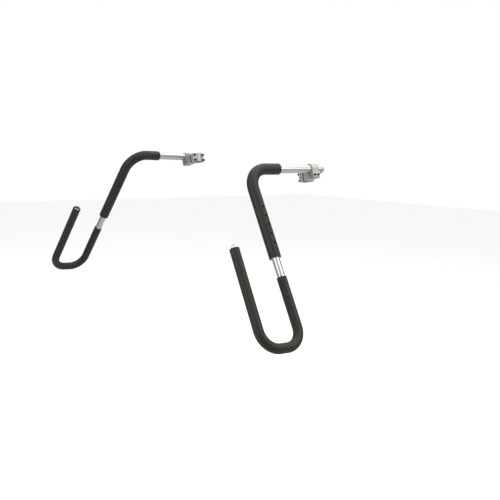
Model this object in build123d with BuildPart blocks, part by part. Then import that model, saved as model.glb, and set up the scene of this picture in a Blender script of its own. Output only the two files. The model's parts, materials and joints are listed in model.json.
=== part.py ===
from build123d import *

import os
from math import cos, radians, sin, tan

# Two-arm side carrier for a long board, as it is fastened to a bicycle.
# X points forward along the bicycle, Y to its left, Z up. Both arms reach out to the right, -Y.
# The origin is the middle of the rear clamp's bore, on the seat post's axis. Millimetres.

os.makedirs("parts", exist_ok=True)

SIDES = ("rear", "front")

# Where the bicycle holds the clamps
BORE_CENTRE = {"rear": (0, 0, 0), "front": (624.8, 0, -48.4)}
POST_ANGLE = {"rear": 73.4, "front": 75.2}  # of the post from the ground, degrees
POST_RADIUS = {"rear": 13.6, "front": 11.1}  # a 27.2 mm seat post and a 22.2 mm quill
SWIVEL = {"rear": 5.2, "front": -0.7}  # of the clamp about its post
BARREL_SIDE = {"rear": -1, "front": 1}  # the tube passes behind the seat post, ahead of the quill
LEAN = {"rear": -33.4, "front": 32.7}  # of the hooks from hanging straight down

# Clamp, in its own frame: x along the barrel, y forward, z up the post
CLAMP_WIDTH = 52
CLAMP_HEIGHT = 32
WING_DEPTH = 8  # of each half, from the split plane
BOSS_RADIUS = 17.5  # round the post
SPLIT = 1.5  # gap between the halves
CORNER = 2.5
NECK_INNER = -15
NECK_OUTER = 14
NECK_BACK = 16
WEB_BACK = 14  # a slot is left between the wing and the web
WEB_OUTER = 25.5
BARREL_REACH = 46  # from the post's axis to the barrel's
BARREL_RISE = 15  # of the barrel's axis over the clamp's middle
BARREL_START = -1
BARREL_END = 27
BARREL_RADIUS = 16.5
EAR_WIDTH = 31
EAR_SLIT = 2.5
EAR_ROUND = 5
EDGE = 0.8

# Screws: M5 in the cap, M4 across the barrel's slit, and an M5 set screw
CAP_SCREW_RADIUS = 2.5
CAP_SCREW_LENGTH = 15
CAP_SCREW_X = 42
CAP_SCREW_Z = 20.4
PINCH_RADIUS = 2
PINCH_LENGTH = 24
PINCH_DROP = 21  # below the barrel's axis
PINCH_X = (6, 20)
SET_SCREW_RADIUS = 2.5
SET_SCREW_SINK = 0.4
HEAD_RADIUS = 1.67  # heads and their hexagons, against the shank's radius
HEAD_HEIGHT = 2
HEAD_HEXAGON = 0.83
SET_HEXAGON = 0.5
SET_HEXAGON_DEPTH = 0.7  # against the set screw's length
THREAD_GAP = 0.05
SCREW_GAP = 0.25
CUT_PAST = 1  # how far a cut runs past the face it leaves

# Outer tube, bent once, with its foam
TUBE_RADIUS = 12.7
TUBE_BORE = 11.18
TUBE_FIT = 0.05  # round the tube, in the barrel and in the stop collar
TUBE_START = -24.5
RUN_OUT = 273  # from the bicycle's middle plane to the bend's corner
BEND_RADIUS = 72
BEND_ANGLE = 87
FOAM_GAP = 0.05
UPPER_FOAM_RADIUS = 17.2
UPPER_FOAM_START = 154
UPPER_FOAM_END = 288  # this and the sizes below are measured down the leg, from the bend's corner
TUBE_END = 289
HOLE_LOW = 247.2
HOLE_PITCH = 28.4
HOLE_COUNT = 5
HOLE_RADIUS = 3.35
FOAM_HOLE_RADIUS = 3.9

# Hook tube, which slides in the outer tube
HOOK_RADIUS = 11.1
HOOK_BORE = 9.45
HOOK_START = 150
LOWER_FOAM_RADIUS = 14.0
LOWER_FOAM_START = 346.2
HOOK_BEND_START = 489.5
HOOK_BEND_RADIUS = 53
HOOK_FLOOR = 23.4
HOOK_RISE = 234
TUBE_SHORT = 7  # the hook tube ends this far below its foam's end
FOAM_ROUND = 1.6

# Snap button and its spring
BUTTON_HOLE = HOLE_LOW - 2 * HOLE_PITCH
BUTTON_RADIUS = 3.2
BUTTON_TOP = 14.2
BUTTON_DOME = 1.2
FLANGE_RADIUS = 4.2
FLANGE_TOP = 8.2
FLANGE_THICK = 1.2
SPRING_THICK = 0.5
SPRING_WIDTH = 7
SPRING_TAIL = 12
SPRING_FOLD = 5  # from the hook tube's end
SPRING_BACK = 8.2

# Stop collar, end plugs and the wire eye
COLLAR_RADIUS = 15
COLLAR_GAP = 0.3
COLLAR_LENGTH = 21.5
PLUG_LENGTH = 16
PLUG_HEAD_THICK = 2
PLUG_ROUND = 1.2
EYE_RADIUS = 7.6
EYE_WIRE_RADIUS = 1.35
EYE_SHANK_RADIUS = 2
EYE_SHANK_DEPTH = 11
EYE_TURN = 45


def turned(plane, degrees):
    """The plane turned about its own z."""
    turn = radians(degrees)
    x_dir = plane.x_dir * cos(turn) + plane.y_dir * sin(turn)
    return Plane(plane.origin, x_dir=x_dir, z_dir=plane.z_dir)


def clamp_plane(side):
    """The clamp's frame: the bore's middle, x out along the barrel, y forward, z up the post."""
    angle = radians(POST_ANGLE[side])
    up_post = (-cos(angle), 0, sin(angle))
    return turned(Plane(BORE_CENTRE[side], x_dir=(0, -1, 0), z_dir=up_post), SWIVEL[side])


def barrel_plane(side):
    """The clamp's side view: origin in the bore's middle, x forward, y up the post."""
    clamp = clamp_plane(side)
    return Plane(clamp.origin, x_dir=clamp.y_dir, z_dir=clamp.x_dir)


def arm_plane(side):
    """The plane an arm is bent in: origin on the barrel's axis, x outward, y down the leg."""
    clamp = clamp_plane(side)
    turn = radians(POST_ANGLE[side] + LEAN[side])
    middle = clamp.from_local_coords((0, BARREL_SIDE[side] * BARREL_REACH, BARREL_RISE))
    normal = clamp.y_dir * sin(turn) - clamp.z_dir * cos(turn)
    return Plane(middle, x_dir=clamp.x_dir, z_dir=normal)


def leg_point(down, across=0):
    """A place on the leg, this far down from the bend's corner, in the arm's plane."""
    angle = radians(BEND_ANGLE)
    return (
        RUN_OUT + down * cos(angle) - across * sin(angle),
        down * sin(angle) + across * cos(angle),
    )


BEND_TANGENT = BEND_RADIUS * tan(radians(BEND_ANGLE) / 2)


def straight_on(before, length):
    """A straight run that carries on from the curve before it."""
    return Line(before @ 1, before @ 1 + (before % 1) * length)


def bend_on(before, radius, angle):
    """A bend that carries on from the curve before it."""
    return JernArc(start=before @ 1, tangent=before % 1, radius=radius, arc_size=angle)


def arm_route(start, end):
    """The outer tube's centreline, from start on its level run to end down its leg."""
    run = Line((start, 0), (RUN_OUT - BEND_TANGENT, 0))
    bend = bend_on(run, BEND_RADIUS, BEND_ANGLE)
    straight_on(bend, end - BEND_TANGENT)


def hook_route(start, rise):
    """The hook's centreline, from start on the leg round to this far up its outer leg."""
    leg = Line(leg_point(start), leg_point(HOOK_BEND_START))
    first = bend_on(leg, HOOK_BEND_RADIUS, -90)
    floor = straight_on(first, HOOK_FLOOR)
    second = bend_on(floor, HOOK_BEND_RADIUS, -90)
    straight_on(second, rise)


def hook_tip(side):
    """The plane across the hook tube's end, its z along the tube and out of it."""
    with BuildLine(arm_plane(side)) as line:
        hook_route(HOOK_START, HOOK_RISE - TUBE_SHORT)
    last = line.edges()[-1]
    return Plane(last @ 1, x_dir=arm_plane(side).z_dir, z_dir=last % 1)


def save(piece, name):
    """Labels the piece and writes it out as the node of that name."""
    piece.part.label = name
    export_step(piece.part, f"parts/{name}.step")


def draw_clamp_half(side, toward):
    """A half clamp seen along the post: two wings and a round boss, up to the split."""
    with Locations((0, toward * (SPLIT / 2 + WING_DEPTH) / 2)):
        wings = Rectangle(CLAMP_WIDTH, WING_DEPTH - SPLIT / 2)
    fillet(wings.vertices(), CORNER)
    Circle(BOSS_RADIUS)
    with Locations((0, toward * (SPLIT / 2 - BOSS_RADIUS))):
        Rectangle(CLAMP_WIDTH, 2 * BOSS_RADIUS, mode=Mode.SUBTRACT)


def make_clamp_body(side):
    """The half clamp that carries the barrel, which a slit and two screws close on the tube."""
    clamp, profile = clamp_plane(side), barrel_plane(side)
    toward = BARREL_SIDE[side]
    axis_y = toward * BARREL_REACH
    with BuildPart() as body:
        with BuildSketch(clamp.offset(-CLAMP_HEIGHT / 2)):
            draw_clamp_half(side, toward)
            with Locations(((NECK_INNER + NECK_OUTER) / 2, toward * (SPLIT / 2 + NECK_BACK) / 2)):
                Rectangle(NECK_OUTER - NECK_INNER, NECK_BACK - SPLIT / 2)
        extrude(amount=CLAMP_HEIGHT)
        with BuildSketch(profile.offset(BARREL_START)):
            with Locations((axis_y, BARREL_RISE)):
                Circle(BARREL_RADIUS)
            with Locations((toward * (WEB_BACK + BARREL_REACH) / 2, 0)):
                Rectangle(BARREL_REACH - WEB_BACK, CLAMP_HEIGHT)
            make_hull()
        extrude(amount=WEB_OUTER - BARREL_START)
        with BuildSketch(profile.offset(BARREL_START)):
            with Locations((axis_y, (BARREL_RISE - CLAMP_HEIGHT / 2) / 2)):
                ears = Rectangle(EAR_WIDTH, BARREL_RISE + CLAMP_HEIGHT / 2)
            low = ears.vertices().group_by(Axis(clamp.origin, clamp.z_dir))[0]
            fillet(low, EAR_ROUND)
            with Locations((axis_y, BARREL_RISE)):
                Circle(BARREL_RADIUS)
        extrude(amount=BARREL_END - BARREL_START)
        # the bores for the post and for the tube, and the slit that lets the ears close
        with BuildSketch(clamp.offset(-CLAMP_HEIGHT)):
            Circle(POST_RADIUS[side])
        extrude(amount=2 * CLAMP_HEIGHT, mode=Mode.SUBTRACT)
        with BuildSketch(profile.offset(BARREL_START - CUT_PAST)):
            with Locations((axis_y, BARREL_RISE)):
                Circle(TUBE_RADIUS + TUBE_FIT)
            with Locations((axis_y, BARREL_RISE - CLAMP_HEIGHT / 2)):
                Rectangle(EAR_SLIT, CLAMP_HEIGHT)
        extrude(amount=BARREL_END - BARREL_START + 2 * CUT_PAST, mode=Mode.SUBTRACT)
        # threads for the cap screws
        with BuildSketch(Plane(clamp.origin, x_dir=clamp.x_dir, z_dir=clamp.y_dir * toward)):
            with GridLocations(CAP_SCREW_X, CAP_SCREW_Z, 2, 2):
                Circle(CAP_SCREW_RADIUS + THREAD_GAP)
        extrude(amount=WING_DEPTH, mode=Mode.SUBTRACT)
        # holes for the pinch screws: clear in the outer ear, threaded in the inner one
        with BuildSketch(pinch_plane(side)):
            with Locations(*pinch_places(side)):
                Circle(PINCH_RADIUS + SCREW_GAP)
        extrude(amount=-EAR_WIDTH / 2, mode=Mode.SUBTRACT)
        with BuildSketch(pinch_plane(side)):
            with Locations(*pinch_places(side)):
                Circle(PINCH_RADIUS + THREAD_GAP)
        extrude(amount=-PINCH_LENGTH - CUT_PAST, mode=Mode.SUBTRACT)
        ends = body.faces().filter_by(lambda f: abs(f.normal_at().dot(clamp.x_dir)) > 0.99)
        outer = ends.sort_by(Axis(clamp.origin, clamp.x_dir))[-1].outer_wire()
        chamfer(outer.edges().filter_by(GeomType.CIRCLE).group_by(SortBy.RADIUS)[-1], EDGE)
    return body


def pinch_plane(side):
    """The outer ear's outside face at the barrel's height, x out along the barrel, z out of it."""
    clamp = clamp_plane(side)
    toward = BARREL_SIDE[side]
    middle = clamp.from_local_coords((0, toward * (BARREL_REACH + EAR_WIDTH / 2), BARREL_RISE))
    return Plane(middle, x_dir=clamp.x_dir, z_dir=clamp.y_dir * toward)


def pinch_places(side):
    """Where the pinch screws stand on the pinch plane."""
    return [(x, BARREL_SIDE[side] * PINCH_DROP) for x in PINCH_X]


def make_clamp_cap(side):
    """The other half clamp."""
    with BuildPart() as cap:
        with BuildSketch(clamp_plane(side).offset(-CLAMP_HEIGHT / 2)):
            draw_clamp_half(side, -BARREL_SIDE[side])
            Circle(POST_RADIUS[side], mode=Mode.SUBTRACT)
        extrude(amount=CLAMP_HEIGHT)
        with BuildSketch(cap_face(side)):
            with GridLocations(CAP_SCREW_X, CAP_SCREW_Z, 2, 2):
                Circle(CAP_SCREW_RADIUS + SCREW_GAP)
        extrude(amount=-WING_DEPTH, mode=Mode.SUBTRACT)
    return cap


def cap_face(side):
    """The outside face of the cap's wings, z out of it."""
    clamp = clamp_plane(side)
    away = -BARREL_SIDE[side]
    middle = clamp.from_local_coords((0, away * WING_DEPTH, 0))
    return Plane(middle, x_dir=clamp.x_dir, z_dir=clamp.y_dir * away)


def make_screws(face, places, shank, length):
    """Socket head screws whose heads stand on face, with their shanks behind it."""
    height = shank * HEAD_HEIGHT
    with BuildPart() as screws:
        with BuildSketch(face):
            with Locations(*places):
                Circle(shank * HEAD_RADIUS)
        extrude(amount=height)
        with BuildSketch(face):
            with Locations(*places):
                Circle(shank)
        extrude(amount=-length)
        with BuildSketch(face.offset(height)):
            with Locations(*places):
                RegularPolygon(shank * HEAD_HEXAGON, 6, major_radius=False)
        extrude(amount=-shank, mode=Mode.SUBTRACT)
    return screws


def make_arm_tube(side):
    """The outer tube: a level run, one bend, and a leg with a row of five holes in its front."""
    arm = arm_plane(side)
    with BuildPart() as tube:
        with BuildLine(arm) as route:
            arm_route(TUBE_START, TUBE_END)
        with BuildSketch(Plane(route.line @ 0, z_dir=route.line % 0)):
            Circle(TUBE_RADIUS)
            Circle(TUBE_BORE, mode=Mode.SUBTRACT)
        sweep(path=route.line)
        with BuildSketch(arm):
            with Locations(*hole_places()):
                Circle(HOLE_RADIUS)
        extrude(amount=2 * TUBE_RADIUS, mode=Mode.SUBTRACT)
    return tube


def hole_places():
    """Where the five holes are, in the arm's plane."""
    return [leg_point(HOLE_LOW - n * HOLE_PITCH) for n in range(HOLE_COUNT)]


def make_upper_sleeve(side):
    """Foam over the outer tube, with larger holes over the tube's own."""
    arm = arm_plane(side)
    with BuildPart() as sleeve:
        with BuildLine(arm) as route:
            arm_route(UPPER_FOAM_START, UPPER_FOAM_END)
        with BuildSketch(Plane(route.line @ 0, z_dir=route.line % 0)):
            Circle(UPPER_FOAM_RADIUS)
            Circle(TUBE_RADIUS + FOAM_GAP, mode=Mode.SUBTRACT)
        sweep(path=route.line)
        with BuildSketch(arm):
            with Locations(*hole_places()):
                Circle(FOAM_HOLE_RADIUS)
        extrude(amount=2 * TUBE_RADIUS, mode=Mode.SUBTRACT)
        round_ends(sleeve, route.line)
    return sleeve


def round_ends(sleeve, line):
    """Rounds the outer edge of the foam's two cut ends."""
    for end in (line @ 0, line @ 1):
        rims = sleeve.edges().filter_by(GeomType.CIRCLE).sort_by_distance(end)
        fillet(rims[1], FOAM_ROUND)


def make_hook_tube(side):
    """The inner tube, which slides in the leg and turns up again at its low end."""
    arm = arm_plane(side)
    with BuildPart() as tube:
        with BuildLine(arm) as route:
            hook_route(HOOK_START, HOOK_RISE - TUBE_SHORT)
        with BuildSketch(Plane(route.line @ 0, z_dir=route.line % 0)):
            Circle(HOOK_RADIUS)
            Circle(HOOK_BORE, mode=Mode.SUBTRACT)
        sweep(path=route.line)
        with BuildSketch(arm):
            with Locations(leg_point(BUTTON_HOLE)):
                Circle(HOLE_RADIUS)
        extrude(amount=2 * HOOK_RADIUS, mode=Mode.SUBTRACT)
    return tube


def make_hook_sleeve(side):
    """Foam over the whole hook."""
    with BuildPart() as sleeve:
        with BuildLine(arm_plane(side)) as route:
            hook_route(LOWER_FOAM_START, HOOK_RISE)
        with BuildSketch(Plane(route.line @ 0, z_dir=route.line % 0)):
            Circle(LOWER_FOAM_RADIUS)
            Circle(HOOK_RADIUS + FOAM_GAP, mode=Mode.SUBTRACT)
        sweep(path=route.line)
        round_ends(sleeve, route.line)
    return sleeve


def make_snap_button(side):
    """The domed button that stands in one of the five holes, with a flange inside the tube."""
    arm = arm_plane(side)
    place = leg_point(BUTTON_HOLE)
    with BuildPart() as button:
        with BuildSketch(arm.offset(FLANGE_TOP - FLANGE_THICK)):
            with Locations(place):
                Circle(FLANGE_RADIUS)
        extrude(amount=FLANGE_THICK)
        with BuildSketch(arm.offset(FLANGE_TOP)):
            with Locations(place):
                Circle(BUTTON_RADIUS)
        extrude(amount=BUTTON_TOP - FLANGE_TOP)
        fillet(button.edges().sort_by(Axis(arm.origin, arm.z_dir))[-1], BUTTON_DOME)
    return button


def make_button_spring(side):
    """A flat strip folded into a V inside the hook tube, which pushes the button out."""
    arm = arm_plane(side)
    angle = radians(BEND_ANGLE)
    down = arm.x_dir * cos(angle) + arm.y_dir * sin(angle)
    place = arm.from_local_coords(leg_point(BUTTON_HOLE))
    strip = Plane(place, x_dir=down, z_dir=arm.x_dir * sin(angle) - arm.y_dir * cos(angle))
    under = strip.to_local_coords(place + arm.z_dir * (FLANGE_TOP - FLANGE_THICK)).Y
    lift = 1 if under > 0 else -1
    front = abs(under) - SPRING_THICK / 2 - THREAD_GAP
    fold = HOOK_START + SPRING_FOLD - BUTTON_HOLE
    with BuildPart() as spring:
        with BuildSketch(strip.offset(-SPRING_WIDTH / 2)):
            with BuildLine():
                Polyline(
                    (SPRING_TAIL / 2, lift * front),
                    (-SPRING_TAIL / 2, lift * front),
                    (fold, 0),
                    (SPRING_TAIL, -lift * SPRING_BACK),
                )
                offset(amount=SPRING_THICK / 2, side=Side.BOTH)
            make_face()
        extrude(amount=SPRING_WIDTH)
    return spring


def make_stop_collar(side):
    """A ring on the tube's inner end, which stops it from sliding out of the barrel."""
    profile = barrel_plane(side)
    axis_y = BARREL_SIDE[side] * BARREL_REACH
    start = BARREL_START - COLLAR_GAP
    with BuildPart() as collar:
        with BuildSketch(profile.offset(start)):
            with Locations((axis_y, BARREL_RISE)):
                Circle(COLLAR_RADIUS)
                Circle(TUBE_RADIUS + TUBE_FIT, mode=Mode.SUBTRACT)
        extrude(amount=-COLLAR_LENGTH)
        rims = collar.edges().filter_by(GeomType.CIRCLE).group_by(SortBy.RADIUS)[-1]
        chamfer(rims, EDGE)
        with BuildSketch(set_screw_plane(side)):
            Circle(SET_SCREW_RADIUS + THREAD_GAP)
        extrude(amount=COLLAR_RADIUS, mode=Mode.SUBTRACT)
    return collar


def set_screw_plane(side):
    """Across the stop collar's set screw, its origin on the tube's surface, z outward and down."""
    clamp = clamp_plane(side)
    along = BARREL_START - COLLAR_GAP - COLLAR_LENGTH / 2
    toward = BARREL_SIDE[side]
    out = (clamp.y_dir * toward - clamp.z_dir).normalized()
    middle = clamp.from_local_coords((along, toward * BARREL_REACH, BARREL_RISE))
    return Plane(middle + out * TUBE_RADIUS, x_dir=clamp.x_dir, z_dir=out)


def make_collar_screw(side):
    """The set screw that holds the stop collar."""
    face = set_screw_plane(side)
    length = COLLAR_RADIUS - TUBE_RADIUS - SET_SCREW_SINK
    with BuildPart() as screw:
        with BuildSketch(face.offset(THREAD_GAP)):
            Circle(SET_SCREW_RADIUS)
        extrude(amount=length)
        with BuildSketch(face.offset(THREAD_GAP + length)):
            RegularPolygon(SET_SCREW_RADIUS * SET_HEXAGON, 6, major_radius=False)
        extrude(amount=-length * SET_HEXAGON_DEPTH, mode=Mode.SUBTRACT)
    return screw


def make_plug(face, shank, head):
    """A turned plug: its head stands on face, which is the tube's end, and its shank goes in."""
    with BuildPart() as plug:
        with BuildSketch(face):
            Circle(shank)
        extrude(amount=-PLUG_LENGTH)
        with BuildSketch(face):
            Circle(head)
        extrude(amount=PLUG_HEAD_THICK)
        top = plug.faces().sort_by(Axis(face.origin, face.z_dir))[-1]
        fillet(top.edges(), PLUG_ROUND)
    return plug


def make_tube_plug(side):
    """Closes the outer tube's inner end."""
    arm = arm_plane(side)
    end = Plane(arm.from_local_coords((TUBE_START, 0)), x_dir=arm.z_dir, z_dir=arm.x_dir * -1)
    return make_plug(end, TUBE_BORE - THREAD_GAP, TUBE_RADIUS)


def make_tip_plug(side):
    """Closes the hook's end, with a hole for the eye's shank."""
    tip = hook_tip(side)
    with BuildPart() as plug:
        add(make_plug(tip, HOOK_BORE - THREAD_GAP, HOOK_RADIUS).part)
        with BuildSketch(tip.offset(PLUG_HEAD_THICK)):
            Circle(EYE_SHANK_RADIUS + THREAD_GAP)
        extrude(amount=-EYE_SHANK_DEPTH - PLUG_HEAD_THICK, mode=Mode.SUBTRACT)
    return plug


def make_cord_eye(side):
    """An eye bolt in the tip plug, for the hook of an elastic cord."""
    tip = turned(hook_tip(side), EYE_TURN)
    rise = PLUG_HEAD_THICK + EYE_RADIUS + EYE_WIRE_RADIUS
    ring = Plane(tip.from_local_coords((0, 0, rise)), x_dir=tip.x_dir, z_dir=tip.y_dir)
    with BuildPart() as eye:
        with BuildSketch(tip.offset(-EYE_SHANK_DEPTH + THREAD_GAP)):
            Circle(EYE_SHANK_RADIUS)
        extrude(amount=EYE_SHANK_DEPTH + PLUG_HEAD_THICK)
        with BuildLine(ring) as route:
            CenterArc((0, 0), EYE_RADIUS, 0, 360)
        with BuildSketch(Plane(route.line @ 0, z_dir=route.line % 0)):
            Circle(EYE_WIRE_RADIUS)
        sweep(path=route.line)
    return eye


def make_cap_screws(side):
    places = [(x * CAP_SCREW_X / 2, y * CAP_SCREW_Z / 2) for x in (-1, 1) for y in (-1, 1)]
    return make_screws(cap_face(side), places, CAP_SCREW_RADIUS, CAP_SCREW_LENGTH)


def make_pinch_screws(side):
    return make_screws(pinch_plane(side), pinch_places(side), PINCH_RADIUS, PINCH_LENGTH)


PIECES = {
    "clamp_body": make_clamp_body,
    "clamp_cap": make_clamp_cap,
    "cap_screws": make_cap_screws,
    "pinch_screws": make_pinch_screws,
    "arm_tube": make_arm_tube,
    "stop_collar": make_stop_collar,
    "collar_screw": make_collar_screw,
    "tube_plug": make_tube_plug,
    "upper_sleeve": make_upper_sleeve,
    "hook_tube": make_hook_tube,
    "hook_sleeve": make_hook_sleeve,
    "snap_button": make_snap_button,
    "button_spring": make_button_spring,
    "tip_plug": make_tip_plug,
    "cord_eye": make_cord_eye,
}

for side in SIDES:
    for name, make in PIECES.items():
        save(make(side), f"{side}_{name}")
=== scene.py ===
import json
from math import atan2, cos, hypot, pi, radians, sin, tan

import bpy
from mathutils import Matrix, Vector, noise


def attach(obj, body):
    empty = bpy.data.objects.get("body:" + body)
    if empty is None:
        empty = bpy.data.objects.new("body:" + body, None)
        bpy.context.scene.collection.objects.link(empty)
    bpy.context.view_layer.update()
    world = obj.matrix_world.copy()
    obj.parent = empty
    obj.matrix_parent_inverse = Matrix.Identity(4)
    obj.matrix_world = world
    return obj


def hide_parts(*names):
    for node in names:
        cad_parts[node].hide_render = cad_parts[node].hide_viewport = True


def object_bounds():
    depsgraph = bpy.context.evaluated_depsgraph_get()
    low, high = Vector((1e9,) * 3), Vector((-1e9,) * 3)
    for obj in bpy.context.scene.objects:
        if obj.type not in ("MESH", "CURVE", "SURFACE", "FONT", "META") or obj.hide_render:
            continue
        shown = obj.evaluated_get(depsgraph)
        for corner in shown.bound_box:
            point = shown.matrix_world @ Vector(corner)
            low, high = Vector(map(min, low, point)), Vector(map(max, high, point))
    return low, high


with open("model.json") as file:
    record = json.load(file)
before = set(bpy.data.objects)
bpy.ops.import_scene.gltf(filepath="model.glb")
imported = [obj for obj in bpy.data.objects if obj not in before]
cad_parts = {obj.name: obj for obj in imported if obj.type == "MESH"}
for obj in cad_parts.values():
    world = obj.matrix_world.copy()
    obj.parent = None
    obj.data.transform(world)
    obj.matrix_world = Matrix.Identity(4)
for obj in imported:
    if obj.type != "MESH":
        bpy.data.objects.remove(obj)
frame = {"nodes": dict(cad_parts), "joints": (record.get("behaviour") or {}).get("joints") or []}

# A side carrier for a long board: two bent arms with foam sleeves, one clamped to a bicycle's seat
# post and one to its stem. Metres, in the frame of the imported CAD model: +X is the bicycle's front,
# +Z is up, and both arms reach out along -Y.

cad_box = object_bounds()

SIDES = ("rear", "front")
JOINTS = {joint["name"]: joint for joint in frame["joints"]}

# Stage
GROUND = -0.8629  # where the bicycle's wheels stand, below the seat post clamp
FLOOR_REACH = 9  # each way from the middle
FLOOR_GREYS = (0.58, 0.62)
FLOOR_GLOW = 0.52  # lifts the floor, as the camera sees it, towards the white round it
# (height, grey), where a height of 0 is straight down, 0.5 is eye level and 1 is overhead
SKY = ((0.0, 0.30), (0.44, 0.26), (0.5, 0.22), (0.6, 0.26), (0.72, 0.5), (0.82, 0.75), (1.0, 0.85))
# (name, place from the object's middle, width and height, watts)
SOFTBOXES = (
    ("key", (-0.3, 0.9, 2.2), (3.0, 3.0), 34),
    ("fill", (0.2, -2.2, 0.9), (1.6, 2.4), 26),
    ("side", (1.9, 0.9, 1.2), (1.4, 2.0), 20),
)
CAMERA_PLACE = (2.2425, -1.5237, 0.0236)
CAMERA_AZIMUTH, CAMERA_ELEVATION, CAMERA_ROLL = -39.304, 6.161, 1.331  # degrees
CAMERA_LENS = 49.33
CAMERA_SHIFT = (-0.01476, -0.04542)

# Upper sleeve, on the outer tube. The first two sizes are along the level run, from the clamp's
# barrel. The rest are down the leg, from the corner where the run and the leg would meet.
UPPER_START = 0.154
RUN_OUT = 0.273
BEND_RADIUS = 0.072
UPPER_END = 0.288
UPPER_RADIUS = 0.0172
UPPER_BORE = 0.01275
HOLE_LOW = 0.2472
HOLE_PITCH = 0.0284
HOLE_COUNT = 5
HOLE_RADIUS = 0.0035  # a little over the tube's own holes

# Lower sleeve, on the hook
HOOK_FOAM_START = 0.3462
HOOK_BEND_START = 0.4895
HOOK_BEND_RADIUS = 0.053
HOOK_FLOOR = 0.0234
HOOK_RISE = 0.234
HOOK_FOAM_RADIUS = 0.014
HOOK_BORE = 0.01115

# Foam meshes
CUT_ROUND = 0.0014  # of the cut ends' outer edge
CUT_STEPS = 5
LIP_ROUND = 0.0005  # of the holes' edge
CELLS_PER_PITCH = 24
WINDOW = 6  # half the width, in cells, of the patch that a hole is set in
FOAM_COLUMNS = 96
STRAIGHT_STEP = 0.0022
BEND_STEP = 0.0016
RELIEF = 0.00012
LUMPS = 45  # per metre
RIPPLES = 160  # per metre
RIPPLE_SHARE = 0.6  # of the lumps' height
CREASE_PITCH = 0.009
CREASE_DEPTH = 0.00035
CREASE_WANDER = 1.5  # how far the creases stray, in radians of their own wave
STRAYS = 60  # per metre

# Metal
HOLE_SHADE_FADE = 0.012  # over which the hook tube's painted shade, seen through the holes, fades out below the lowest hole
WELD = 1e-6  # between corners that are one corner
SHARP = 32  # degrees, from where on an edge is broken
BROKEN_EDGES = {
    "clamp_body": 0.0005,
    "clamp_cap": 0.0005,
    "cap_screws": 0.0003,
    "pinch_screws": 0.0003,
    "stop_collar": 0.0002,
}


class Arm:
    """The plane one arm is bent in, read from its joints."""

    def __init__(self, side):
        self.origin = Vector(JOINTS[f"{side}_arm_turn"]["pos_m"])
        self.out = Vector(JOINTS[f"{side}_arm_turn"]["axis"]).normalized()
        self.down = Vector(JOINTS[f"{side}_hook_slide"]["axis"]).normalized()
        self.front = -Vector(JOINTS[f"{side}_button_press"]["axis"]).normalized()
        self.bend = self.out.angle(self.down)
        self.corner = self.origin + self.out * RUN_OUT


class Route:
    """A bent tube's centreline. legs are (length, radius) pairs, where a radius of 0 is a straight
    run and a negative one bends the other way."""

    def __init__(self, start, heading, normal, legs):
        self.start, self.heading, self.normal, self.legs = start, heading, normal, legs
        self.length = sum(length for length, _ in legs)

    def at(self, distance):
        """The point this far along, and the heading there."""
        point, heading = self.start.copy(), self.heading.copy()
        for length, radius in self.legs:
            step = min(distance, length)
            side = self.normal.cross(heading)
            if radius:
                turn = step / radius
                point += (heading * sin(turn) + side * (1 - cos(turn))) * radius
                heading = heading * cos(turn) + side * sin(turn)
            else:
                point += heading * step
            distance -= step
            if distance <= 0:
                break
        return point, heading

    def place(self, straight):
        """Where a point of the unbent tube goes: x along it, y towards its front, z to its side."""
        point, heading = self.at(straight[0])
        return point + self.normal * straight[1] + self.normal.cross(heading) * straight[2]

    def bends(self):
        """(start, end, side) of each bend, where side is +1 or -1, towards its inside."""
        found, start = [], 0
        for length, radius in self.legs:
            if radius:
                found.append((start, start + length, 1 if radius > 0 else -1))
            start += length
        return found


def spread(start, end, step):
    """Even distances from start towards end, which is left out."""
    count = max(1, round((end - start) / step))
    return [start + (end - start) * n / count for n in range(count)]


def ease(t):
    """A smooth step from 0 to 1."""
    t = min(1, max(0, t))
    return t * t * (3 - 2 * t)


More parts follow.
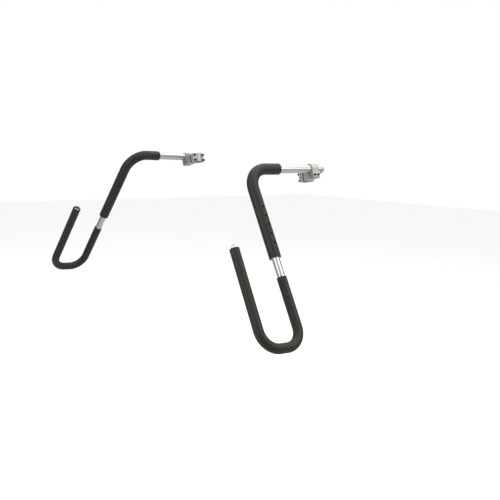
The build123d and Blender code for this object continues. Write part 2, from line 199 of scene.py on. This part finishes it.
class Sleeve:
    """A foam tube's mesh, built straight and then bent along its route. The wall's section is a
    closed loop of rows: out along the outside, round the end, back along the bore, and round the
    start."""

    def __init__(self, route, outer, bore):
        self.route, self.outer, self.bore = route, outer, bore
        self.points, self.faces, self.cut_faces = [], [], set()
        self.rows, self.row_kinds = [], []

    def add_row(self, distance, radius, kind):
        turns = [2 * pi * n / FOAM_COLUMNS for n in range(FOAM_COLUMNS)]
        first = len(self.points)
        self.points += [(distance, radius * cos(turn), radius * sin(turn)) for turn in turns]
        self.rows.append(list(range(first, first + FOAM_COLUMNS)))
        self.row_kinds.append(kind)

    def add_end(self, distance, outward):
        """The rounded edge and the flat cut of one end, from the outside to the bore or back."""
        face = [(distance - outward * CUT_ROUND * (1 - sin(turn)), CUT_ROUND * (1 - cos(turn)))
                for turn in (pi / 2 * n / CUT_STEPS for n in range(1, CUT_STEPS + 1))]
        depth = self.outer - self.bore
        face += [(distance, CUT_ROUND + (depth - CUT_ROUND) * share) for share in (0.35, 0.7)]
        for where, inward in face if outward > 0 else reversed(face):
            self.add_row(where, self.outer - inward, "cut")

    def add_walls(self, outside, inside):
        for distance in outside:
            self.add_row(distance, self.outer, "skin")
        self.add_end(self.route.length, 1)
        for distance in reversed(inside):
            self.add_row(distance, self.bore, "bore")
        self.add_end(0, -1)

    def join_rows(self, holes):
        """Faces between neighbouring rows, apart from the windows that the holes are set in."""
        windows = set()
        for outside_row, bore_row in holes:
            for n in range(2 * WINDOW):
                windows.update({outside_row + n, bore_row - n - 1})
        count = len(self.rows)
        for n, row in enumerate(self.rows):
            after = self.rows[(n + 1) % count]
            cut = "cut" in (self.row_kinds[n], self.row_kinds[(n + 1) % count])
            for column in range(FOAM_COLUMNS):
                beside = (column + 1) % FOAM_COLUMNS
                if n in windows and (column < WINDOW or column >= FOAM_COLUMNS - WINDOW):
                    continue
                self.add_face((row[column], row[beside], after[beside], after[column]), cut)

    def add_face(self, corners, cut):
        if cut:
            self.cut_faces.add(len(self.faces))
        self.faces.append(corners)

    def window_edge(self, first_row, step):
        """The points round a window, in order, from the row it starts at."""
        columns = [n % FOAM_COLUMNS for n in range(-WINDOW, WINDOW + 1)]
        rows = [self.rows[first_row + step * n] for n in range(2 * WINDOW + 1)]
        edge = [rows[0][column] for column in columns]
        edge += [row[columns[-1]] for row in rows[1:]]
        edge += [rows[-1][column] for column in reversed(columns[:-1])]
        edge += [row[columns[0]] for row in reversed(rows[1:-1])]
        return edge

    def add_hole(self, centre, outside_row, bore_row):
        """A round hole straight through the front of the wall, with a soft lip."""
        outside = self.window_edge(outside_row, 1)
        bore = self.window_edge(bore_row, -1)
        turns = [atan2(self.points[n][2], self.points[n][0] - centre) for n in outside]

        def ring(radius, surface):
            first = len(self.points)
            for turn in turns:
                across = radius * sin(turn)
                height = (surface ** 2 - across ** 2) ** 0.5
                self.points.append((centre + radius * cos(turn), height, across))
            return list(range(first, first + len(turns)))

        def between(edge, share, surface):
            first = len(self.points)
            for n, turn in zip(edge, turns):
                along, _, across = self.points[n]
                lip = HOLE_RADIUS + LIP_ROUND
                along += (centre + lip * cos(turn) - along) * share
                across += (lip * sin(turn) - across) * share
                self.points.append((along, (surface ** 2 - across ** 2) ** 0.5, across))
            return list(range(first, first + len(turns)))

        rings = [outside]
        rings += [between(outside, share, self.outer) for share in (0.3, 0.6, 0.85, 1)]
        rings.append(ring(HOLE_RADIUS + 0.3 * LIP_ROUND, self.outer - 0.3 * LIP_ROUND))
        wall_start, wall_shares = len(rings) - 1, (0.2, 0.5, 0.8, 1)
        rings += [ring(HOLE_RADIUS, self.outer + (self.bore - self.outer) * share)
                  for share in wall_shares]
        rings += [between(bore, share, self.bore) for share in (1, 0.6, 0.3)]
        rings.append(bore)
        for n, (ring_points, after) in enumerate(zip(rings, rings[1:])):
            for m in range(len(turns)):
                beside = (m + 1) % len(turns)
                corners = (ring_points[m], ring_points[beside], after[beside], after[m])
                self.add_face(corners, wall_start <= n < wall_start + len(wall_shares))

    def relief(self, along, turn):
        """How far the skin stands proud here: soft unevenness, and creases inside the bends."""
        spot = Vector((along, self.outer * cos(turn), self.outer * sin(turn)))
        proud = RELIEF * (noise.noise(spot * LUMPS) + RIPPLE_SHARE * noise.noise(spot * RIPPLES))
        for start, end, side in self.route.bends():
            share = (along - start) / (end - start)
            inside = side * sin(turn)
            if 0 < share < 1 and inside > 0:
                wander = noise.noise(spot * STRAYS) * CREASE_WANDER
                wave = 0.5 + 0.5 * cos(2 * pi * along / CREASE_PITCH + wander)
                proud -= CREASE_DEPTH * sin(pi * share) * inside ** 3 * wave ** 3
        return proud

    def shaped(self, point):
        along, front, side = point
        radius = hypot(front, side)
        share = ease((radius - self.bore) / (self.outer - self.bore))
        scale = 1 + self.relief(along, atan2(side, front)) * share / radius
        return along, front * scale, side * scale

    def object(self, name, skin, cut):
        shaped = [self.shaped(point) for point in self.points]
        mesh = bpy.data.meshes.new(name)
        mesh.from_pydata([self.route.place(point) for point in shaped], [], self.faces)
        straight = mesh.attributes.new("straight", "FLOAT_VECTOR", "POINT")
        straight.data.foreach_set("vector", [value for point in shaped for value in point])
        mesh.materials.append(skin)
        mesh.materials.append(cut)
        for polygon in mesh.polygons:
            polygon.use_smooth = True
            polygon.material_index = 1 if polygon.index in self.cut_faces else 0
        mesh.update()
        piece = bpy.data.objects.new(name, mesh)
        bpy.context.scene.collection.objects.link(piece)
        return piece


def upper_sleeve(arm):
    """The sleeve over the outer tube's bend, with the five holes for the snap button."""
    tangent = BEND_RADIUS * tan(arm.bend / 2)
    run = RUN_OUT - tangent - UPPER_START
    turn = BEND_RADIUS * arm.bend
    leg = UPPER_END - tangent
    start = arm.origin + arm.out * UPPER_START
    legs = ((run, 0), (turn, BEND_RADIUS), (leg, 0))
    sleeve = Sleeve(Route(start, arm.out, arm.front, legs), UPPER_RADIUS, UPPER_BORE)
    cell = HOLE_PITCH / CELLS_PER_PITCH
    top = run + turn - tangent  # of the leg's own measure, along the sleeve
    centres = [top + HOLE_LOW - HOLE_PITCH * n for n in reversed(range(HOLE_COUNT))]
    first, last = centres[0] - WINDOW * cell, centres[-1] + WINDOW * cell
    end = sleeve.route.length
    outside = spread(CUT_ROUND, run, STRAIGHT_STEP)
    outside += spread(run, run + turn, BEND_STEP)
    outside += spread(run + turn, first, STRAIGHT_STEP)
    outside_first = len(outside)
    fine = spread(first, last, cell)
    outside += fine + spread(last, end - CUT_ROUND, STRAIGHT_STEP) + [end - CUT_ROUND]
    inside = [0, *spread(run, run + turn, 3 * BEND_STEP), run + turn]
    inside_first = len(inside)
    inside += fine + [last, end]
    sleeve.add_walls(outside, inside)
    bore_first = sleeve.row_kinds.index("bore") + len(inside) - 1 - inside_first
    steps = [n * CELLS_PER_PITCH for n in range(HOLE_COUNT)]
    holes = [(outside_first + step, bore_first - step) for step in steps]
    sleeve.join_rows(holes)
    for centre, (outside_row, bore_row) in zip(centres, holes):
        sleeve.add_hole(centre, outside_row, bore_row)
    return sleeve


def hook_sleeve(arm):
    """The sleeve over the whole hook."""
    turn = HOOK_BEND_RADIUS * pi / 2
    start = arm.corner + arm.down * HOOK_FOAM_START
    legs = (
        (HOOK_BEND_START - HOOK_FOAM_START, 0),
        (turn, -HOOK_BEND_RADIUS),
        (HOOK_FLOOR, 0),
        (turn, -HOOK_BEND_RADIUS),
        (HOOK_RISE, 0),
    )
    route = Route(start, arm.down, arm.front, legs)
    sleeve = Sleeve(route, HOOK_FOAM_RADIUS, HOOK_BORE)
    outside, inside, along = [], [], 0
    for length, radius in legs:
        step = BEND_STEP if radius else STRAIGHT_STEP
        outside += spread(along or CUT_ROUND, along + length, step)
        inside += spread(along, along + length, 3 * BEND_STEP if radius else length)
        along += length
    outside = [distance for distance in outside if distance < along - CUT_ROUND]
    sleeve.add_walls(outside + [along - CUT_ROUND], inside + [along])
    sleeve.join_rows([])
    return sleeve


def set_stops(ramp, stops):
    """Gives a colour ramp its (place, colour) stops."""
    elements = ramp.color_ramp.elements
    while len(elements) < len(stops):
        elements.new(0.5)
    for element, (place, colour) in zip(elements, stops):
        element.position = place
        element.color = (*colour, 1)


class Finish:
    """A new procedural material: values for its Principled node, and nodes that feed it."""

    def __init__(self, name, **values):
        self.material = bpy.data.materials.new(name)
        self.material.use_nodes = True
        self.tree = self.material.node_tree
        self.surface = self.tree.nodes["Principled BSDF"]
        for socket, value in values.items():
            self.surface.inputs[socket.replace("_", " ")].default_value = value

    def node(self, kind, settings=None, **inputs):
        """A node of that kind. An input is a value, or the output of another node."""
        made = self.tree.nodes.new("ShaderNode" + kind)
        for name, value in (settings or {}).items():
            setattr(made, name, value)
        for name, value in inputs.items():
            socket = made.inputs[int(name[1:]) if name[1:].isdigit() else name.replace("_", " ")]
            self.feed(socket, value)
        return made

    def feed(self, socket, value):
        if isinstance(value, bpy.types.NodeSocket):
            self.tree.links.new(value, socket)
        else:
            socket.default_value = value

    def place(self, grain, axis=None):
        """Coordinates on the CAD piece, in grains. With an axis, the grain's x is along it."""
        rotation = Vector((1, 0, 0)).rotation_difference(axis).to_euler() if axis else (0, 0, 0)
        return self.over(self.node("TexCoord").outputs["Object"], grain, rotation)

    def unbent(self, grain):
        """Coordinates on a foam sleeve as if it were straight, in grains."""
        return self.over(self.node("Attribute", {"attribute_name": "straight"}).outputs["Vector"], grain)

    def over(self, where, grain, rotation=(0, 0, 0)):
        """Coordinates measured in grains of that size, in metres: one number, or one each way."""
        mapping = self.node("Mapping", {"vector_type": "TEXTURE"}, Vector=where)
        mapping.inputs["Rotation"].default_value = rotation
        mapping.inputs["Scale"].default_value = grain if isinstance(grain, tuple) else (grain,) * 3
        return mapping.outputs["Vector"]

    def noise(self, where, detail=2, roughness=0.5):
        made = self.node("TexNoise", Vector=where, Scale=1, Detail=detail, Roughness=roughness)
        return made.outputs["Fac"]

    def cells(self, where, feature="F1"):
        made = self.node("TexVoronoi", {"feature": feature}, Vector=where, Scale=1)
        return made.outputs["Distance"]

    def range(self, value, low, high, start=0.0, end=1.0):
        """A value that goes from start to end, turned into one from low to high."""
        made = self.node("MapRange", Value=value, From_Min=start, From_Max=end,
                         To_Min=low, To_Max=high)
        return made.outputs["Result"]

    def sum(self, a, b, share):
        """One value, and a share of another."""
        scaled = self.node("Math", {"operation": "MULTIPLY"}, _0=b, _1=share).outputs[0]
        return self.node("Math", {"operation": "ADD"}, _0=a, _1=scaled).outputs[0]

    def colours(self, value, *stops):
        """A colour from a value, by (place, colour) stops."""
        ramp = self.node("ValToRGB", Fac=value)
        set_stops(ramp, stops)
        return ramp.outputs["Color"]

    def finish(self, colour, roughness=None, height=None, depth=0.0):
        """Feeds the surface: colour, roughness and a bump of that depth in metres."""
        self.feed(self.surface.inputs["Base Color"], colour)
        if roughness is not None:
            self.feed(self.surface.inputs["Roughness"], roughness)
        if height is not None:
            bump = self.node("Bump", Height=height, Distance=depth, Strength=1)
            self.feed(self.surface.inputs["Normal"], bump.outputs["Normal"])
        return self.material


def foam_skin():
    """The moulded skin of closed-cell foam: near black, matt, finely pitted and faintly drawn."""
    foam = Finish("foam_skin", Sheen_Weight=0.03, Sheen_Roughness=0.5, Specular_IOR_Level=0.34,
                  Specular_Tint=(1.0, 0.975, 0.90, 1.0))
    pores = foam.cells(foam.unbent(0.0007))
    grit = foam.noise(foam.unbent(0.00035), 3, 0.6)
    drawn = foam.noise(foam.unbent((0.03, 0.0012, 0.0012)), 2)
    blotch = foam.noise(foam.unbent((0.014, 0.009, 0.009)), 4, 0.6)
    shade = foam.sum(foam.sum(blotch, drawn, 0.35), grit, 0.3)
    colour = foam.colours(shade, (0.55, (0.0085, 0.0084, 0.0060)), (0.95, (0.019, 0.0185, 0.0140)))
    pits = foam.range(pores, 0, 1, 0.0, 0.55)
    height = foam.sum(foam.sum(pits, grit, 0.7), drawn, 0.8)
    return foam.finish(colour, foam.range(shade, 0.4, 0.54, 0.55, 1.1), height, 0.0001)


def foam_cut():
    """Cut foam, where the cells are open."""
    foam = Finish("foam_cut", Sheen_Weight=0.2, Sheen_Roughness=0.6, Specular_IOR_Level=0.3)
    cells = foam.cells(foam.unbent(0.0006), "DISTANCE_TO_EDGE")
    blotch = foam.noise(foam.unbent(0.004), 3)
    shade = foam.sum(cells, blotch, 0.5)
    colour = foam.colours(shade, (0.2, (0.030, 0.029, 0.025)), (0.8, (0.012, 0.0115, 0.010)))
    return foam.finish(colour, foam.range(blotch, 0.75, 0.9), foam.range(cells, 1, 0), 0.00025)


def drawn_tube(name, axis, hole_shade_until=None):
    """Polished aluminium tube, with the fine lengthwise lines of drawing. Up to a distance along the
    axis, inside another tube, it may carry painted shade, near black, so that the holes onto it look
    dark."""
    tube = Finish(name, Metallic=1, Specular_IOR_Level=0.5)
    lines = tube.noise(tube.place((0.05, 0.0005, 0.0005), axis), 3, 0.65)
    bands = tube.noise(tube.place((0.11, 0.003, 0.003), axis), 2)
    smears = tube.noise(tube.place((0.02, 0.012, 0.012), axis), 4, 0.6)
    shade = tube.sum(tube.sum(lines, bands, 0.6), smears, 0.3)
    # Painted shade: the stretch inside the outer tube, seen only through its holes, is darkened to near
    # black.
    if hole_shade_until is not None:
        along = tube.node("SeparateXYZ", Vector=tube.place(1.0, axis)).outputs["X"]
        painted_hole_shade = tube.range(along, 0.7, 0, hole_shade_until - HOLE_SHADE_FADE, hole_shade_until)
        shade = tube.sum(shade, painted_hole_shade, -1)
    # The near-black first stop is reached only through the painted shade.
    colour = tube.colours(shade, (0.1, (0.02, 0.02, 0.02)), (0.6, (0.41, 0.413, 0.428)),
                          (1.0, (0.58, 0.582, 0.592)))
    rough = tube.range(shade, 0.33, 0.23, 0.65, 1.15)
    return tube.finish(colour, rough, tube.sum(lines, bands, 0.5), 0.000006)


def blasted_metal(axis):
    """Machined and bead-blasted aluminium: an even grey with a fine grain and faint handling marks."""
    metal = Finish("blasted_aluminium", Metallic=1)
    grain = metal.noise(metal.place(0.00022), 2)
    cuts = metal.noise(metal.place((0.0004, 0.02, 0.02), axis), 2)
    smears = metal.noise(metal.place(0.012), 5, 0.65)
    shade = metal.sum(metal.sum(smears, grain, 0.15), cuts, 0.15)
    colour = metal.colours(shade, (0.45, (0.42, 0.41, 0.375)), (0.85, (0.55, 0.54, 0.505)))
    rough = metal.range(smears, 0.46, 0.58, 0.3, 0.7)
    return metal.finish(colour, rough, metal.sum(grain, cuts, 0.5), 0.000025)


def turned_metal(axis):
    """Turned aluminium: fine rings round its axis."""
    metal = Finish("turned_aluminium", Metallic=1)
    rings = metal.noise(metal.place((0.00025, 0.05, 0.05), axis), 3, 0.6)
    smears = metal.noise(metal.place(0.009), 4, 0.6)
    shade = metal.sum(rings, smears, 0.6)
    colour = metal.colours(shade, (0.55, (0.50, 0.50, 0.50)), (1.0, (0.78, 0.78, 0.785)))
    return metal.finish(colour, metal.range(smears, 0.2, 0.32, 0.3, 0.7), rings, 0.00004)


def black_oxide():
    """Blackened steel screws, a little rubbed."""
    steel = Finish("black_oxide", Metallic=1)
    grain = steel.noise(steel.place(0.0003), 3)
    rubbed = steel.noise(steel.place(0.002), 4, 0.7)
    colour = steel.colours(rubbed, (0.5, (0.022, 0.022, 0.024)), (0.72, (0.085, 0.083, 0.08)))
    return steel.finish(colour, steel.range(rubbed, 0.42, 0.28, 0.35, 0.7), grain, 0.00004)


def bright_steel():
    """Polished stainless wire, with faint marks from its forming."""
    steel = Finish("bright_steel", Metallic=1)
    marks = steel.noise(steel.place(0.0008), 3, 0.6)
    smears = steel.noise(steel.place(0.004), 3)
    colour = steel.colours(smears, (0.35, (0.62, 0.61, 0.59)), (0.65, (0.78, 0.775, 0.76)))
    return steel.finish(colour, steel.range(marks, 0.12, 0.26), marks, 0.00003)


def spring_steel(axis):
    """Tempered strip, dull and brownish where it was heated."""
    steel = Finish("spring_steel", Metallic=1)
    lines = steel.noise(steel.place((0.02, 0.0003, 0.0003), axis), 3)
    heat = steel.noise(steel.place(0.008), 2)
    colour = steel.colours(heat, (0.4, (0.14, 0.125, 0.105)), (0.6, (0.24, 0.235, 0.23)))
    return steel.finish(colour, steel.range(lines, 0.28, 0.45), lines, 0.00003)


def moulded_plastic():
    """Black moulded plastic with a fine spark grain."""
    plastic = Finish("moulded_plastic", Specular_IOR_Level=0.45)
    grain = plastic.cells(plastic.place(0.0005))
    cloud = plastic.noise(plastic.place(0.006), 3)
    colour = plastic.colours(cloud, (0.3, (0.013, 0.013, 0.014)), (0.7, (0.024, 0.024, 0.025)))
    return plastic.finish(colour, plastic.range(cloud, 0.42, 0.55), grain, 0.00008)


def set_finish(node, material):
    node.data.materials.clear()
    node.data.materials.append(material)


def soften_edges(node, width):
    """Breaks a machined piece's sharp edges, as a real one's are."""
    weld = node.modifiers.new("weld", "WELD")
    weld.merge_threshold = WELD
    bevel = node.modifiers.new("broken_edges", "BEVEL")
    bevel.width = width
    bevel.segments = 2
    bevel.limit_method = "ANGLE"
    bevel.angle_limit = radians(SHARP)
    bevel.miter_outer = "MITER_ARC"
    normals = node.modifiers.new("normals", "WEIGHTED_NORMAL")
    normals.keep_sharp = True


def make_foam():
    skin, cut = foam_skin(), foam_cut()
    for side in SIDES:
        arm = Arm(side)
        for name, make, body in (("upper", upper_sleeve, "arm"), ("hook", hook_sleeve, "hook")):
            piece = make(arm).object(f"{side}_{name}_foam", skin, cut)
            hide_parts(f"{side}_{name}_sleeve")
            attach(piece, f"{side}_{body}")


def finish_metal():
    screws, wire, plastic = black_oxide(), bright_steel(), moulded_plastic()
    for side in SIDES:
        arm = Arm(side)
        blasted, turned = blasted_metal(arm.out), turned_metal(arm.out)
        # The hook tube's painted shade ends just past the lowest hole.
        hole_shade_until = arm.corner.dot(arm.down) + HOLE_LOW + 2 * HOLE_RADIUS + HOLE_SHADE_FADE
        finishes = {
            "clamp_body": blasted,
            "clamp_cap": blasted,
            "cap_screws": screws,
            "pinch_screws": screws,
            "arm_tube": drawn_tube("drawn_outer_tube", arm.out),
            "stop_collar": turned,
            "collar_screw": screws,
            "tube_plug": plastic,
            "hook_tube": drawn_tube("drawn_hook_tube", arm.down, hole_shade_until),
            "snap_button": screws,
            "button_spring": spring_steel(arm.down),
            "tip_plug": turned_metal(arm.down),
            "cord_eye": wire,
        }
        for name, material in finishes.items():
            set_finish(frame["nodes"][f"{side}_{name}"], material)
        for name, width in BROKEN_EDGES.items():
            soften_edges(frame["nodes"][f"{side}_{name}"], width)


def make_floor():
    mesh = bpy.data.meshes.new("floor")
    corners = [(x * FLOOR_REACH, y * FLOOR_REACH, GROUND)
               for x, y in ((-1, -1), (1, -1), (1, 1), (-1, 1))]
    mesh.from_pydata(corners, [], [(0, 1, 2, 3)])
    floor = bpy.data.objects.new("floor", mesh)
    bpy.context.scene.collection.objects.link(floor)
    paper = Finish("floor_paper", Roughness=0.9, Specular_IOR_Level=0.2)
    cloud = paper.noise(paper.place(0.4), 2)
    paper.surface.inputs["Emission Color"].default_value = (1, 1, 1, 1)
    paper.feed(paper.surface.inputs["Emission Strength"],
               paper.range(paper.node("LightPath").outputs["Is Camera Ray"], 0, FLOOR_GLOW))
    shade = paper.colours(cloud, *((place, (grey,) * 3) for place, grey in enumerate(FLOOR_GREYS)))
    mesh.materials.append(paper.finish(shade))


def make_world():
    """A pale studio: bright overhead and darker at eye level and below. The camera sees it white."""
    world = bpy.data.worlds.new("studio")
    world.use_nodes = True
    nodes, links = world.node_tree.nodes, world.node_tree.links
    background = nodes["Background"]
    direction = nodes.new("ShaderNodeTexCoord")
    split = nodes.new("ShaderNodeSeparateXYZ")
    links.new(direction.outputs["Generated"], split.inputs[0])
    ramp = nodes.new("ShaderNodeValToRGB")
    height = nodes.new("ShaderNodeMapRange")
    height.inputs["From Min"].default_value = -1
    height.inputs["From Max"].default_value = 1
    links.new(split.outputs["Z"], height.inputs["Value"])
    links.new(height.outputs["Result"], ramp.inputs["Fac"])
    set_stops(ramp, [(place, (grey,) * 3) for place, grey in SKY])
    seen = nodes.new("ShaderNodeLightPath")
    mix = nodes.new("ShaderNodeMix")
    mix.data_type = "RGBA"
    links.new(seen.outputs["Is Camera Ray"], mix.inputs["Factor"])
    links.new(ramp.outputs["Color"], mix.inputs[6])
    mix.inputs[7].default_value = (1, 1, 1, 1)
    links.new(mix.outputs[2], background.inputs["Color"])
    bpy.context.scene.world = world


def softbox(name, place, target, size, power):
    light = bpy.data.lights.new(name, "AREA")
    light.shape = "RECTANGLE"
    light.size, light.size_y = size
    light.energy = power
    lamp = bpy.data.objects.new(name, light)
    lamp.location = place
    lamp.rotation_euler = (target - place).to_track_quat("-Z", "Y").to_euler()
    bpy.context.scene.collection.objects.link(lamp)


def make_lights():
    low, high = cad_box
    middle = (low + high) / 2
    for name, place, size, power in SOFTBOXES:
        softbox(name, middle + Vector(place), middle, size, power)


def make_camera():
    """Ahead of the carrier and to its right, nearly level with its clamps."""
    azimuth, elevation = radians(CAMERA_AZIMUTH), radians(CAMERA_ELEVATION)
    roll = radians(CAMERA_ROLL)
    back = Vector((cos(elevation) * cos(azimuth), cos(elevation) * sin(azimuth), sin(elevation)))
    right = Vector((0, 0, 1)).cross(back).normalized()
    up = back.cross(right)
    right, up = right * cos(roll) + up * sin(roll), up * cos(roll) - right * sin(roll)
    data = bpy.data.cameras.new("camera")
    data.lens = CAMERA_LENS
    data.shift_x, data.shift_y = CAMERA_SHIFT
    camera = bpy.data.objects.new("camera", data)
    turned = Matrix((right, up, back)).transposed().to_4x4()
    camera.matrix_world = Matrix.Translation(CAMERA_PLACE) @ turned
    bpy.context.scene.collection.objects.link(camera)
    bpy.context.scene.camera = camera


make_camera()
make_foam()
finish_metal()
make_floor()
make_world()
make_lights()
bpy.context.scene.view_settings.view_transform = "Standard"
